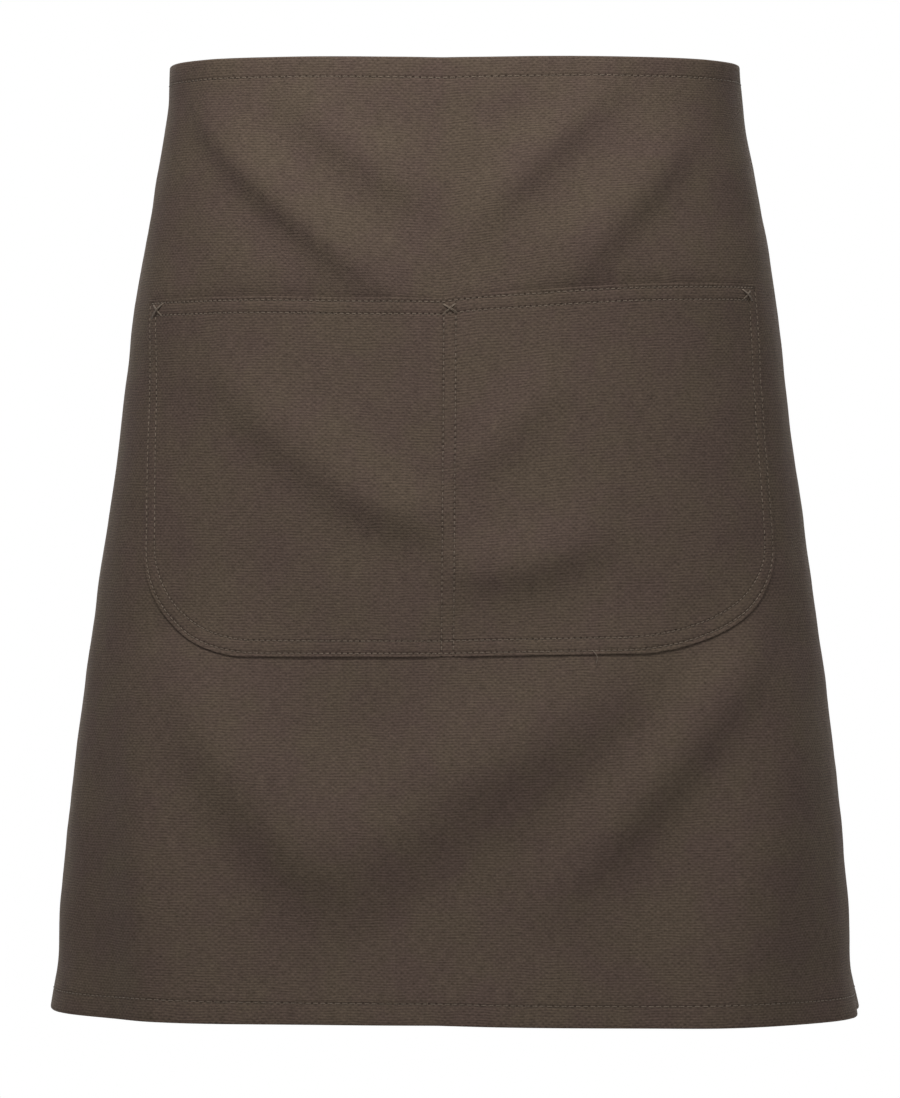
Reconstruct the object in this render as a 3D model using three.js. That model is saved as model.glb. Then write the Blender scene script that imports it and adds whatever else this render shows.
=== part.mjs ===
// Canvas waist apron, as it is worn: one canvas panel round the front and sides of the body, turned hems,
// a double patch pocket with round lower corners, and two ties in a bow at the back of the waist.
// Millimetres. +X is to the right as the front is looked at, +Y to the wearer's back and +Z up.
// The origin is the middle of the waist opening, level with the panel's top edge.
import * as THREE from "three";
import { mergeVertices } from "three/addons/utils/BufferGeometryUtils.js";

// The body that the cloth goes round, in plan: its breadth, and how far it reaches forwards and backwards.
const waistBreadth = 300;
const waistFront = 98;
const waistBack = 98;
const hemBreadth = 428;
const hemFront = 128;
const hemBack = 170;
const frontSquareness = 2.5;
const backSquareness = 2.3;

// The panel. Its cut width is the waist's girth less the gap that the ties close at the back.
const cutLength = 500;
const backOpening = 115;
const canvasWall = 1.2;
const layerGap = 0.3;
const hemDepth = 12;
const clothTurn = 8;
const hangShare = 0.995;

// The pocket is sewn on flat at its sides, bottom and middle, and stands off at its mouth. Both its sides
// lean to the right on their way down, and its right corner is wider than its left.
const pocketWidth = 352;
const pocketHeight = 184;
const pocketDrop = 127.5;
const pocketOffset = 4.6;
const pocketLean = 10;
const pocketCornerLeft = 68;
const pocketCornerRight = 100;
const pocketCornerHeight = 56;
const pocketHemDepth = 11;
const pocketSlack = 7;
const pocketGap = 0.75;

// Folds of the cloth: the reach of one to each side of its crest, and its height. The weft rises from
// the middle to the sides by a share of the side rise, most of it inside the rise's reach.
const foldReach = 20;
const foldHeight = 7;
const waveHeight = 5;
const sideRise = 10;
const riseReach = 180;

// The ties, and the bow that they make at the back.
const tieWidth = 22;
const tieWall = 1.4;
const tieDrop = 1;
const tieGap = 0.5;
const tieLap = 26;
const knotWidth = 26;
const knotDepth = 18;
const knotHeight = 28;
const knotRound = 5;
const loopLength = 84;
const loopOpening = 16;
const loopDroop = 24;
const tailLength = 200;
const tailSpread = 9;
const tailBow = 5;

const canvas = new THREE.MeshStandardMaterial({ color: 0x5a4c42, roughness: 0.92, metalness: 0 });
const foldedCanvas = new THREE.MeshStandardMaterial({ color: 0x56493f, roughness: 0.92, metalness: 0 });
const tieCloth = new THREE.MeshStandardMaterial({ color: 0x574a40, roughness: 0.9, metalness: 0 });

// Plan of the cloth on its way down: shares of the growth from waist to hem, sideways and forwards.
const flare = [
  { down: 0.0, sideways: 0.0, forwards: 0.0 },
  { down: 0.05, sideways: 0.025, forwards: 0.12 },
  { down: 0.14, sideways: 0.135, forwards: 0.32 },
  { down: 0.27, sideways: 0.3, forwards: 0.55 },
  { down: 0.4, sideways: 0.42, forwards: 0.7 },
  { down: 0.52, sideways: 0.56, forwards: 0.8 },
  { down: 0.65, sideways: 0.705, forwards: 0.88 },
  { down: 0.78, sideways: 0.832, forwards: 0.94 },
  { down: 0.88, sideways: 0.905, forwards: 0.97 },
  { down: 0.95, sideways: 0.938, forwards: 0.985 },
  { down: 1.0, sideways: 1.0, forwards: 1.0 },
];

// How far the weft rises from the centre line to the sides and how far that differs from left to right,
// as shares of the side rise, and how far the cloth has slipped round to the left, as a share of its turn.
const drape = [
  { down: 0.0, rise: 0.2, tilt: 0.0, turn: 0.87 },
  { down: 0.25, rise: 0.87, tilt: 0.41, turn: 0.9 },
  { down: 0.62, rise: 0.1, tilt: 0.1, turn: 1.06 },
  { down: 1.0, rise: -0.14, tilt: -0.16, turn: 1.2 },
];

// Soft folds. A crest runs between two places on the cut, across as a share of half its width and down as
// a share of its length. Bow, and the reach above and below the crest, are shares of the fold reach.
const folds = [
  { across: [-0.42, -0.04], down: [0.03, 0.26], bow: 0.3, above: 0.85, below: 0.5, height: 0.85 },
  { across: [-0.25, -0.01], down: [0.03, 0.16], bow: 0.1, above: 0.7, below: 0.5, height: 0.5 },
  { across: [0.27, 0.02], down: [0.02, 0.2], bow: 0.0, above: 0.7, below: 0.5, height: 0.55 },
  { across: [0.4, 0.15], down: [0.07, 0.27], bow: 0.0, above: 1.0, below: 0.6, height: 0.75 },
  { across: [-0.36, 0.05], down: [0.29, 0.5], bow: 0.85, above: 1.0, below: 0.7, height: 0.8 },
  { across: [-0.16, 0.02], down: [0.44, 0.49], bow: 0.2, above: 0.7, below: 0.6, height: 0.3 },
  { across: [0.27, -0.02], down: [0.485, 0.525], bow: 0.6, above: 1.0, below: 0.7, height: 0.9 },
  { across: [0.18, 0.02], down: [0.34, 0.45], bow: 0.0, above: 0.7, below: 0.6, height: 0.45 },
  { across: [-0.41, -0.08], down: [0.59, 0.9], bow: 0.5, above: 1.6, below: 1.05, height: 1.7 },
  { across: [0.39, -0.26], down: [0.605, 0.88], bow: -0.15, above: 1.6, below: 1.35, height: 1.6 },
  { across: [0.53, 0.13], down: [0.575, 0.9], bow: 0.0, above: 0.9, below: 0.8, height: 1.4 },
  { across: [-0.44, -0.37], down: [0.6, 1.3], bow: 0.0, above: 2.4, below: 1.3, height: 2.6 },
  { across: [0.52, 0.36], down: [0.6, 1.25], bow: 0.0, above: 1.8, below: 2.0, height: 2.1 },
  { across: [-0.4, 0.35], down: [1.05, 1.05], bow: 0.0, above: 3.0, below: 1.0, height: 1.5 },
];

// Loose waves that grow towards the hem behind the body's sides: where they are across, as a share of
// half the cut's width, how wide they are, as a share of the fold reach, and their share of the height.
const waves = [
  { across: -0.96, reach: 1.3, height: 0.8 },
  { across: -0.85, reach: 1.0, height: -0.7 },
  { across: 0.84, reach: 1.0, height: -0.6 },
  { across: 0.95, reach: 1.3, height: 0.9 },
];

const waveGrowth = 1.5;

// Height between the rows of a table, on a smooth curve through all of them.
function along(table, column, down) {
  const last = table.length - 1;
  const at = Math.min(Math.max(down, table[0].down), table[last].down);
  let i = 0;
  while (i < last - 1 && table[i + 1].down <= at) i += 1;
  const slope = (k) => {
    const a = table[Math.max(k - 1, 0)];
    const b = table[Math.min(k + 1, last)];
    return (b[column] - a[column]) / (b.down - a.down);
  };
  const width = table[i + 1].down - table[i].down;
  const t = (at - table[i].down) / width;
  const from = table[i][column] * (1 + 2 * t) * (1 - t) ** 2 + slope(i) * width * t * (1 - t) ** 2;
  const to = table[i + 1][column] * t * t * (3 - 2 * t) + slope(i + 1) * width * t * t * (t - 1);
  return from + to;
}

function backAt(down) {
  return waistBack + (hemBack - waistBack) * Math.min(Math.max(down, 0), 1);
}

// Plan of the cloth at one height, from the front centre round to the back centre: a squared ellipse,
// with the length so far at each point.
const planSteps = 360;
const plans = new Map();
function planAt(down) {
  if (plans.has(down)) return plans.get(down);
  const half = (waistBreadth + (hemBreadth - waistBreadth) * along(flare, "sideways", down)) / 2;
  const front = waistFront + (hemFront - waistFront) * along(flare, "forwards", down);
  const back = backAt(down);
  const plan = [];
  for (let k = 0; k <= planSteps; k += 1) {
    const angle = (Math.PI * k) / planSteps;
    const ahead = angle < Math.PI / 2;
    const power = 2 / (ahead ? frontSquareness : backSquareness);
    const x = half * Math.abs(Math.sin(angle)) ** power;
    const y = (ahead ? -front : back) * Math.abs(Math.cos(angle)) ** power;
    const before = plan[k - 1];
    plan.push({ x, y, length: before ? before.length + Math.hypot(x - before.x, y - before.y) : 0 });
  }
  plans.set(down, plan);
  return plan;
}

const halfGirth = planAt(0)[planSteps].length;
const halfCut = halfGirth - backOpening / 2;

// The smooth cloth, without its folds: the place of a point of the cut, across and down from the middle
// of its top edge. The rise is steep near the middle and levels off beyond its reach.
const riseBend = 1.6;
const riseEnd = 1.25;
function smoothPlace(across, down) {
  const plan = planAt(down / cutLength);
  const turned = across - clothTurn * along(drape, "turn", down / cutLength);
  const round = Math.abs(turned);
  let k = 1;
  while (k < planSteps && plan[k].length < round) k += 1;
  const [a, b] = [plan[k - 1], plan[k]];
  const t = (round - a.length) / (b.length - a.length);
  const outwards = Math.min(Math.abs(across) / riseReach, riseEnd);
  const climb = (1 - Math.exp(-riseBend * outwards)) / (1 - Math.exp(-riseBend));
  const rise = along(drape, "rise", down / cutLength) * sideRise;
  const tilt = along(drape, "tilt", down / cutLength) * sideRise;
  return new THREE.Vector3(
    Math.sign(turned) * (a.x + (b.x - a.x) * t),
    a.y + (b.y - a.y) * t,
    -down * hangShare + (rise + tilt * Math.sign(across)) * climb,
  );
}

// Outward direction of the smooth cloth, from its slopes over a short step.
function outwardAt(across, down) {
  const step = 2;
  const low = Math.max(down - step, 0);
  const sideways = smoothPlace(across + step, down).sub(smoothPlace(across - step, down));
  const downwards = smoothPlace(across, down + step).sub(smoothPlace(across, low));
  return downwards.cross(sideways).normalize();
}

function foldAt(fold, across, down) {
  const [fromX, toX] = fold.across.map((share) => share * halfCut);
  const [fromY, toY] = fold.down.map((share) => share * cutLength);
  const [runX, runY] = [toX - fromX, toY - fromY];
  const run = Math.hypot(runX, runY);
  const t = ((across - fromX) * runX + (down - fromY) * runY) / run ** 2;
  if (t <= 0 || t >= 1) return 0;
  const turned = Math.sign(runX) || 1;
  const aside = (turned * ((down - fromY) * runX - (across - fromX) * runY)) / run;
  const off = aside - fold.bow * foldReach * 4 * t * (1 - t);
  const reach = foldReach * (off < 0 ? fold.above : fold.below);
  return fold.height * foldHeight * Math.sin(Math.PI * t) * Math.exp(-((off / reach) ** 2));
}

function waveAt(wave, across, down) {
  const off = (across - wave.across * halfCut) / (wave.reach * foldReach);
  const share = Math.min(Math.max(down / cutLength, 0), 1);
  return wave.height * waveHeight * share ** waveGrowth * Math.exp(-off * off);
}

function reliefAt(across, down) {
  const folded = folds.reduce((sum, fold) => sum + foldAt(fold, across, down), 0);
  return waves.reduce((sum, wave) => sum + waveAt(wave, across, down), folded);
}

// A point that lies off the inside face of the panel by the lift.
function clothPlace(across, down, lift) {
  const place = smoothPlace(across, down);
  return place.addScaledVector(outwardAt(across, down), reliefAt(across, down) + lift);
}

// A closed wall over a grid: place gives the point for a column, a row and a face, 0 inside and 1 outside.
function wall(columns, rows, place) {
  const points = [0, 1].flatMap((face) =>
    rows.flatMap((row) => columns.map((column) => place(column, row, face))),
  );
  const [wide, high] = [columns.length, rows.length];
  const id = (face, j, i) => (face * high + j) * wide + i;
  const corners = [];
  const quad = (a, b, c, d) => corners.push(a, b, c, a, c, d);
  for (let j = 0; j < high - 1; j += 1)
    for (let i = 0; i < wide - 1; i += 1) {
      quad(id(1, j, i), id(1, j + 1, i), id(1, j + 1, i + 1), id(1, j, i + 1));
      quad(id(0, j, i), id(0, j, i + 1), id(0, j + 1, i + 1), id(0, j + 1, i));
    }
  for (let j = 0; j < high - 1; j += 1) {
    quad(id(0, j, 0), id(0, j + 1, 0), id(1, j + 1, 0), id(1, j, 0));
    quad(id(1, j, wide - 1), id(1, j + 1, wide - 1), id(0, j + 1, wide - 1), id(0, j, wide - 1));
  }
  for (let i = 0; i < wide - 1; i += 1) {
    quad(id(1, 0, i), id(1, 0, i + 1), id(0, 0, i + 1), id(0, 0, i));
    quad(id(0, high - 1, i), id(0, high - 1, i + 1), id(1, high - 1, i + 1), id(1, high - 1, i));
  }
  return closedGeometry(points, corners);
}

// Geometry with its equal points merged and the triangles that this leaves without width dropped.
function closedGeometry(points, corners) {
  const positions = new Float32Array(points.flatMap((p) => [p.x, p.y, p.z]));
  const raw = new THREE.BufferGeometry();
  raw.setAttribute("position", new THREE.BufferAttribute(positions, 3));
  raw.setIndex(corners);
  const merged = mergeVertices(raw, 1e-3);
  const kept = [];
  const index = merged.index.array;
  for (let k = 0; k < index.length; k += 3) {
    const [a, b, c] = [index[k], index[k + 1], index[k + 2]];
    if (a !== b && b !== c && c !== a) kept.push(a, b, c);
  }
  merged.setIndex(kept);
  merged.computeVertexNormals();
  return merged;
}

function steps(from, to, count) {
  return Array.from({ length: count + 1 }, (_, k) => from + ((to - from) * k) / count);
}

function joined(...lists) {
  return lists.reduce((all, list) => [...all.slice(0, -1), ...list]);
}

const part = new THREE.Group();
function add(name, geometry, material) {
  const mesh = new THREE.Mesh(geometry, material);
  mesh.name = name;
  part.add(mesh);
}

// Grid lines of the cut, shared by every layer so that the layers lie evenly on each other.
const pocketHalf = pocketWidth / 2;
const pocketFoot = pocketDrop + pocketHeight;
const pocketHemFoot = pocketDrop + pocketHemDepth;
const cornerTop = pocketFoot - pocketCornerHeight;
const cornerRows = steps(0, 90, 8).map(
  (degrees) => cornerTop + pocketCornerHeight * Math.sin(THREE.MathUtils.degToRad(degrees)),
);
const pocketHemRows = [pocketDrop, pocketHemFoot];
const pocketRows = joined(pocketHemRows, steps(pocketHemFoot, cornerTop, 9), cornerRows);
const pocketEdges = [pocketOffset - pocketHalf, pocketOffset + pocketHalf];
const pocketColumns = [...steps(...pocketEdges, 28), pocketEdges[1] + pocketLean];
const sideColumns = (side, pocketEdge) =>
  joined(steps(pocketEdge, side * (halfCut - hemDepth), 8), [side * (halfCut - hemDepth), side * halfCut]);
const panelColumns = joined(
  sideColumns(-1, pocketColumns.at(0)).reverse(),
  pocketColumns,
  sideColumns(1, pocketColumns.at(-1)),
);
const panelRows = joined(
  [0, hemDepth],
  steps(hemDepth, pocketDrop, 7),
  pocketRows,
  steps(pocketFoot, cutLength - hemDepth, 10),
  [cutLength - hemDepth, cutLength],
);

// The panel, and the hems turned to its inside.
const onPanel = (across, down, face) => clothPlace(across, down, face * canvasWall);
const underPanel = (across, down, face) =>
  clothPlace(across, down, (face - 1) * canvasWall - layerGap);
add("body_panel", wall(panelColumns, panelRows, onPanel), canvas);
add("waist_hem", wall(panelColumns, [0, hemDepth], underPanel), foldedCanvas);
add("bottom_hem", wall(panelColumns, [cutLength - hemDepth, cutLength], underPanel), foldedCanvas);
const sideHemTop = hemDepth + layerGap;
const sideHemFoot = cutLength - hemDepth - layerGap;
const sideHemRows = [sideHemTop, ...panelRows.slice(2, -2), sideHemFoot];
for (const [name, side] of [["left", -1], ["right", 1]]) {
  const columns = [side * halfCut, side * (halfCut - hemDepth)].sort((a, b) => a - b);
  add(`side_hem_${name}`, wall(columns, sideHemRows, underPanel), foldedCanvas);
}

// The pocket narrows round its lower corners. Its mouth stands off the panel between the seams, less and
// less towards its foot, and its turned hem lies between it and the panel.
const slackFade = 1.4;
function pocketHalfAt(down, side) {
  const fallen = Math.min(Math.max((down - cornerTop) / pocketCornerHeight, 0), 1);
  const leaning = pocketHalf + (side * pocketLean * (down - pocketDrop)) / pocketHeight;
  const cornerWidth = side < 0 ? pocketCornerLeft : pocketCornerRight;
  return leaning - cornerWidth * (1 - Math.sqrt(1 - fallen ** 2));
}

function pocketPlace(across, down, lift) {
  const half = pocketHalfAt(down, Math.sign(across - pocketOffset));
  const aside = Math.min(Math.max(across - pocketOffset, -half), half);
  const share = Math.abs(aside) / half;
  const aboveFoot = Math.max(pocketFoot - down, 0) / pocketHeight;
  const slack = pocketSlack * Math.sin(Math.PI * share) ** 2 * aboveFoot ** slackFade;
  const underHem = Math.min(Math.max(2 - (down - pocketDrop) / pocketHemDepth, 0), 1);
  const hemRoom = (canvasWall + layerGap) * underHem;
  return clothPlace(pocketOffset + aside, down, canvasWall + pocketGap + slack + hemRoom + lift);
}

const onPocket = (across, down, face) => pocketPlace(across, down, face * canvasWall);
const underPocket = (across, down, face) =>
  pocketPlace(across, down, (face - 1) * canvasWall - layerGap);
add("pocket", wall(pocketColumns, pocketRows, onPocket), canvas);
add("pocket_hem", wall(pocketColumns, pocketHemRows, underPocket), foldedCanvas);

// A strap along a path of frames: each gives a middle point, and the directions of its width and face.
function strap(frames, width, thickness) {
  const place = (column, row, face) => {
    const { middle, sideways, outward } = frames[column];
    return middle
      .clone()
      .addScaledVector(sideways, (row - 0.5) * width)
      .addScaledVector(outward, (face - 0.5) * thickness);
  };
  return wall(frames.map((_, k) => k), [0, 1], place);
}

// Each tie is lapped over the panel's top corner and runs round the back of the waist to the knot.
const tieLift = canvasWall + tieGap;
const tieEnd = halfGirth - knotWidth / 2 - layerGap;
const tieRows = steps(tieDrop, tieDrop + tieWidth, 2);
const waistTurn = clothTurn * drape[0].turn;
for (const [name, side] of [["left", -1], ["right", 1]]) {
  const lap = steps(halfCut - tieLap, halfCut, 3);
  const columns = joined(lap, steps(halfCut, tieEnd + side * waistTurn, 4)).map((across) => side * across);
  columns.sort((a, b) => a - b);
  const place = (across, down, face) => clothPlace(across, down, tieLift + face * tieWall);
  add(`waist_tie_${name}`, wall(columns, tieRows, place), tieCloth);
}

// The knot, a rounded block behind the middle of the back.
const [knotX, knotY] = [knotWidth / 2 - knotRound, knotDepth / 2 - knotRound];
const tieMiddle = tieDrop + tieWidth / 2;
const knotMiddle = new THREE.Vector3(0, backAt(tieMiddle / cutLength) + tieLift + knotY, -tieMiddle);
const knotOutline = new THREE.Shape();
knotOutline.absarc(knotX, knotY, knotRound, 0, Math.PI / 2);
knotOutline.absarc(-knotX, knotY, knotRound, Math.PI / 2, Math.PI);
knotOutline.absarc(-knotX, -knotY, knotRound, Math.PI, Math.PI * 1.5);
knotOutline.absarc(knotX, -knotY, knotRound, Math.PI * 1.5, Math.PI * 2);
const knot = new THREE.ExtrudeGeometry(knotOutline, {
  depth: knotHeight,
  bevelEnabled: false,
  curveSegments: 3,
});
knot.translate(knotMiddle.x, knotMiddle.y, knotMiddle.z - knotHeight / 2);
add("bow_knot", knot, tieCloth);

// The loops of the bow droop to both sides of the knot, and the tails hang below it.
const loopSteps = 16;
const loopInside = 0.15;
const loopDrop = 2;
for (const [name, side] of [["left", -1], ["right", 1]]) {
  const droop = THREE.MathUtils.degToRad(loopDroop);
  const away = new THREE.Vector3(side * Math.cos(droop), 0, -Math.sin(droop));
  const sideways = new THREE.Vector3(side * Math.sin(droop), 0, Math.cos(droop));
  const clear = knotWidth / 2 + layerGap + (tieWidth / 2) * Math.sin(droop);
  const root = knotMiddle.clone().add(new THREE.Vector3(side * clear, tieWall * 2, -loopDrop));
  const curve = steps(0, Math.PI, loopSteps).map((turn) => {
    const bulge = loopOpening * (turn < Math.PI / 2 ? 1 : loopInside) * Math.sin(2 * turn);
    const out = new THREE.Vector3(0, bulge + tieWall * Math.cos(turn), 0);
    return out.addScaledVector(away, loopLength * Math.sin(turn)).add(root);
  });
  const frames = curve.map((middle, k) => {
    const run = curve[Math.min(k + 1, loopSteps)].clone().sub(curve[Math.max(k - 1, 0)]);
    return { middle, sideways, outward: sideways.clone().cross(run).normalize().multiplyScalar(-side) };
  });
  if (side > 0) frames.reverse();
  add(`bow_loop_${name}`, strap(frames, tieWidth, tieWall), tieCloth);
}

const tailSteps = 8;
const tailCurve = 1.6;
for (const [name, side] of [["left", -1], ["right", 1]]) {
  const spread = Math.tan(THREE.MathUtils.degToRad(tailSpread)) * tailLength;
  const top = knotMiddle.clone();
  top.y += side * tieWall;
  top.z -= knotHeight / 2 + layerGap;
  const path = steps(0, 1, tailSteps).map((share) =>
    top.clone().add(new THREE.Vector3(
      side * spread * share ** tailCurve,
      tailBow * Math.sin(Math.PI * share) * share,
      -tailLength * share,
    )),
  );
  const frames = path.map((middle, k) => {
    const run = path[Math.min(k + 1, tailSteps)].clone().sub(path[Math.max(k - 1, 0)]).normalize();
    const sideways = k === 0 ? new THREE.Vector3(1, 0, 0) : new THREE.Vector3(-run.z, 0, run.x).normalize();
    return { middle, sideways, outward: sideways.clone().cross(run).normalize() };
  });
  add(`tie_tail_${name}`, strap(frames, tieWidth, tieWall), tieCloth);
}

part.updateMatrixWorld(true);

export default part;
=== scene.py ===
"""Canvas waist apron: cloth, stitching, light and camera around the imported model.

Lengths are in millimetres until a mesh is made. The cloth is worked out on its flat cut: across from the
middle, down from the top edge, and a lift off the panel's inside face.
"""

import math

import bpy
import numpy as np
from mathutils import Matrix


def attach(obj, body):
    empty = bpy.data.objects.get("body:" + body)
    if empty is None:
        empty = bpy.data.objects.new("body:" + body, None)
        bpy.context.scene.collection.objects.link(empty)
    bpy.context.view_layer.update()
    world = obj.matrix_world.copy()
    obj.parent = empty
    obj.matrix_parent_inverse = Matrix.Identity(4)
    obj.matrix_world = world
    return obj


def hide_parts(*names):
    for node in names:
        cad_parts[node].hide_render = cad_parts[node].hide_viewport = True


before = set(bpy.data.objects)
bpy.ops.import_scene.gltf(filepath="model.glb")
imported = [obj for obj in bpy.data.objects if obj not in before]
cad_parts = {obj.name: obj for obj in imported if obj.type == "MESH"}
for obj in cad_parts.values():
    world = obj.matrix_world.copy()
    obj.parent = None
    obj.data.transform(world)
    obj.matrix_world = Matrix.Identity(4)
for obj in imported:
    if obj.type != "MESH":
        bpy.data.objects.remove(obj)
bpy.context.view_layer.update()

MM = 0.001
draws = np.random.default_rng(7)

# Form of the worn cloth in plan, and its cut.
waist_breadth, waist_front, waist_back = 300, 98, 98
hem_breadth, hem_front, hem_back = 428, 128, 170
front_squareness, back_squareness = 2.5, 2.3
cut_length = 500
back_opening = 115
canvas_wall = 1.2
layer_gap = 0.3
hem_depth = 12
cloth_turn = 8
hang_share = 0.995

# The pocket.
pocket_width, pocket_height = 352, 184
pocket_drop, pocket_offset, pocket_lean = 127.5, 4.6, 10
pocket_corner_left, pocket_corner_right, pocket_corner_height = 68, 100, 56
pocket_hem_depth = 11
pocket_slack = 7
slack_fade = 1.4

# Folds, and the rise of the weft to the sides.
fold_reach, fold_height, wave_height = 20, 7, 5
wave_growth = 1.5
side_rise, rise_reach, rise_bend, rise_end = 10, 180, 1.6, 1.25

# The ties and their bow.
tie_width, tie_wall, tie_drop, tie_gap, tie_lap = 22, 1.4, 1, 0.5, 26
knot_width, knot_depth, knot_height, knot_round = 26, 18, 28, 5
loop_length, loop_opening, loop_droop, loop_inside, loop_drop = 84, 16, 24, 0.15, 2
tail_length, tail_spread, tail_bow, tail_curve = 200, 9, 5, 1.6

# Sewing. A pitch is the length of a stitch, and a row lies this far inside the edge that it holds. The
# centre rows lie to both sides of the pocket's middle. Tacks lie inside the pocket's ends, and a little
# below the middle of its hem.
cloth_thickness = 0.75
panel_pitch, panel_row = 3.7, 11
pocket_pitch, pocket_rows = 3.05, (2.3, 8.7)
centre_rows = 3.1
tie_pitch, tie_row = 3.5, 2.4
tack_inset, tack_drop = 9.4, 0.6
thread_radius, tack_radius = 0.27, 0.28

# The mouth's edge falls to both its ends, and the middle tack pulls it up.
mouth_fall, mouth_pull, mouth_pull_reach = 1.4, 1.9, 38
mouth_rows = (12, 45)


def table(columns, *rows):
    """Rows of named columns."""
    return [dict(zip(columns.split(), row)) for row in rows]


flare = table(
    "down sideways forwards",
    (0.0, 0.0, 0.0),
    (0.05, 0.025, 0.12),
    (0.14, 0.135, 0.32),
    (0.27, 0.3, 0.55),
    (0.4, 0.42, 0.7),
    (0.52, 0.56, 0.8),
    (0.65, 0.705, 0.88),
    (0.78, 0.832, 0.94),
    (0.88, 0.905, 0.97),
    (0.95, 0.938, 0.985),
    (1.0, 1.0, 1.0),
)
drape = table(
    "down rise tilt turn",
    (0.0, 0.2, 0.0, 0.87),
    (0.25, 0.87, 0.41, 0.9),
    (0.62, 0.1, 0.1, 1.06),
    (1.0, -0.14, -0.16, 1.2),
)
folds = table(
    "across down bow above below height",
    ((-0.42, -0.04), (0.03, 0.26), 0.3, 0.85, 0.5, 0.85),
    ((-0.25, -0.01), (0.03, 0.16), 0.1, 0.7, 0.5, 0.5),
    ((0.27, 0.02), (0.02, 0.2), 0.0, 0.7, 0.5, 0.55),
    ((0.4, 0.15), (0.07, 0.27), 0.0, 1.0, 0.6, 0.75),
    ((-0.36, 0.05), (0.29, 0.5), 0.85, 1.0, 0.7, 0.8),
    ((-0.16, 0.02), (0.44, 0.49), 0.2, 0.7, 0.6, 0.3),
    ((0.27, -0.02), (0.485, 0.525), 0.6, 1.0, 0.7, 0.9),
    ((0.18, 0.02), (0.34, 0.45), 0.0, 0.7, 0.6, 0.45),
    ((-0.41, -0.08), (0.59, 0.9), 0.5, 1.6, 1.05, 1.7),
    ((0.39, -0.26), (0.605, 0.88), -0.15, 1.6, 1.35, 1.6),
    ((0.53, 0.13), (0.575, 0.9), 0.0, 0.9, 0.8, 1.4),
    ((-0.44, -0.37), (0.6, 1.3), 0.0, 2.4, 1.3, 2.6),
    ((0.52, 0.36), (0.6, 1.25), 0.0, 1.8, 2.0, 2.1),
    ((-0.4, 0.35), (1.05, 1.05), 0.0, 3.0, 1.0, 1.5),
)
waves = table(
    "across reach height",
    (-0.96, 1.3, 0.8),
    (-0.85, 1.0, -0.7),
    (0.84, 1.0, -0.6),
    (0.95, 1.3, 0.9),
)

# Small marks of wear and pressing: the crease down the middle, and dark flecks in the yarn.
crease_across, crease_height, crease_reach = -0.6, 0.28, 1.7
flecks = table(
    "across down size",
    (5.0, 38.0, 0.7),
    (-126.0, 440.0, 0.6),
    (75.0, 462.0, 0.7),
)


# Plan and drape of the smooth cloth
def along(rows, name, down):
    """Value between the rows of a table, on a smooth curve through all of them."""
    places = np.array([row["down"] for row in rows], dtype=float)
    values = np.array([row[name] for row in rows], dtype=float)
    slopes = np.gradient(values)
    slopes[1:-1] = (values[2:] - values[:-2]) / (places[2:] - places[:-2])
    slopes[0] = (values[1] - values[0]) / (places[1] - places[0])
    slopes[-1] = (values[-1] - values[-2]) / (places[-1] - places[-2])
    at = np.clip(down, places[0], places[-1])
    i = np.clip(np.searchsorted(places, at, side="right") - 1, 0, len(rows) - 2)
    width = places[i + 1] - places[i]
    t = (at - places[i]) / width
    before = values[i] * (1 + 2 * t) * (1 - t) ** 2 + slopes[i] * width * t * (1 - t) ** 2
    after = values[i + 1] * t * t * (3 - 2 * t) + slopes[i + 1] * width * t * t * (t - 1)
    return before + after


def back_at(down):
    return waist_back + (hem_back - waist_back) * np.clip(down, 0, 1)


def plan_at(down, steps=1440):
    """Half plan from the front centre to the back centre, with the length so far at each point."""
    half = (waist_breadth + (hem_breadth - waist_breadth) * along(flare, "sideways", down)) / 2
    front = waist_front + (hem_front - waist_front) * along(flare, "forwards", down)
    angle = np.linspace(0, math.pi, steps + 1)
    ahead = angle < math.pi / 2
    power = np.where(ahead, 2 / front_squareness, 2 / back_squareness)
    x = half * np.abs(np.sin(angle)) ** power
    y = np.where(ahead, -front, back_at(down)) * np.abs(np.cos(angle)) ** power
    length = np.concatenate([[0], np.cumsum(np.hypot(np.diff(x), np.diff(y)))])
    return x, y, length


half_girth = plan_at(0)[2][-1]
half_cut = half_girth - back_opening / 2
pocket_half = pocket_width / 2
pocket_foot = pocket_drop + pocket_height
corner_top = pocket_foot - pocket_corner_height
tack_middle = pocket_drop + sum(pocket_rows) / 2 + tack_drop

# Bar tacks: a cross at each end and the middle of the mouth, with its half width and half height, how far
# it is moved across, and which of its arms lies on top: 1 runs down to the right.
tacks = table(
    "side reach depth moved top",
    (-1, 5.6, 3.9, 1.4, -1),
    (0, 3.6, 2.7, 0.0, 1),
    (1, 4.2, 2.9, -0.6, 1),
)
for tack in tacks:
    tack["across"] = pocket_offset + tack["side"] * (pocket_half - tack_inset) + tack["moved"]

# The smooth cloth is worked out once, on a grid of the cut that reaches past the cloth.
grid_step, grid_aside, grid_beyond = 2.0, 20, 12
grid_across = np.arange(-half_girth - grid_aside, half_girth + grid_aside, grid_step)
grid_down = np.arange(-grid_beyond, cut_length + grid_beyond + grid_step, grid_step)


def smooth_row(down):
    """Places of one weft of the smooth cloth, at each grid line across."""
    share = down / cut_length
    x, y, length = plan_at(share)
    turned = grid_across - cloth_turn * along(drape, "turn", share)
    outwards = np.minimum(np.abs(grid_across) / rise_reach, rise_end)
    climb = (1 - np.exp(-rise_bend * outwards)) / (1 - math.exp(-rise_bend))
    rise = along(drape, "rise", share) * side_rise
    tilt = along(drape, "tilt", share) * side_rise
    return np.stack(
        [
            np.sign(turned) * np.interp(np.abs(turned), length, x),
            np.interp(np.abs(turned), length, y),
            -down * hang_share + (rise + tilt * np.sign(grid_across)) * climb,
        ],
        axis=-1,
    )


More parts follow.
